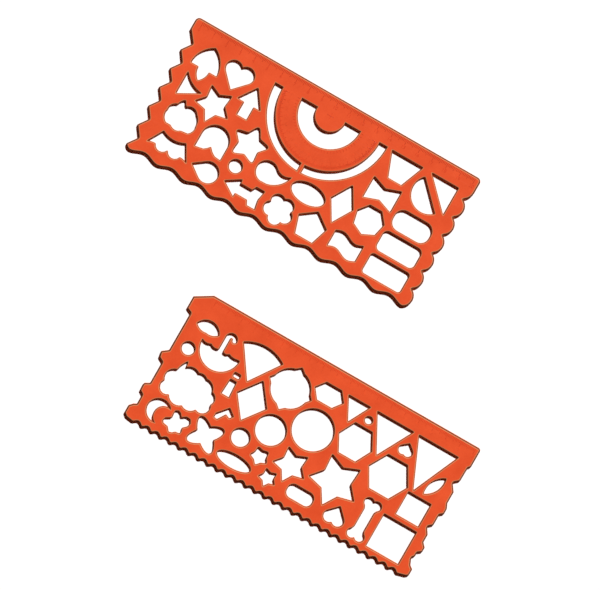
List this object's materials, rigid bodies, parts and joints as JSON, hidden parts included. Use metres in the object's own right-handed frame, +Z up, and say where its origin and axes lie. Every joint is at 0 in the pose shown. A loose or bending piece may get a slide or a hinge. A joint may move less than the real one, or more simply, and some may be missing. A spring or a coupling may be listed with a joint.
{
  "type": "drawing stencil",
  "caption": "Flat orange plastic drawing stencils with ruler edges, a protractor and cut-out shapes to trace, such as stars, hearts, bars, discs and a cloud.",
  "frame": {"origin": "centre of the rectangle around both stencils, on the surface they lie on", "axes": "+X along the ruler edges, from zero towards higher readings, +Y in the plane towards the ruler edges, +Z up out of the marked faces"},
  "size_m": [0.2946, 0.245, 0.002],
  "materials": {
    "orange_plastic": "satin"
  },
  "bodies": {
    "protractor_stencil": {"protractor_stencil": "orange_plastic"},
    "shapes_stencil": {"shapes_stencil": "orange_plastic"}
  },
  "joints": [
    {"name": "shapes_stencil_lift", "type": "slide", "parent": "protractor_stencil", "child": "shapes_stencil", "axis": [0, 0, 1], "range_m": [0, 0.05]}
  ]
}
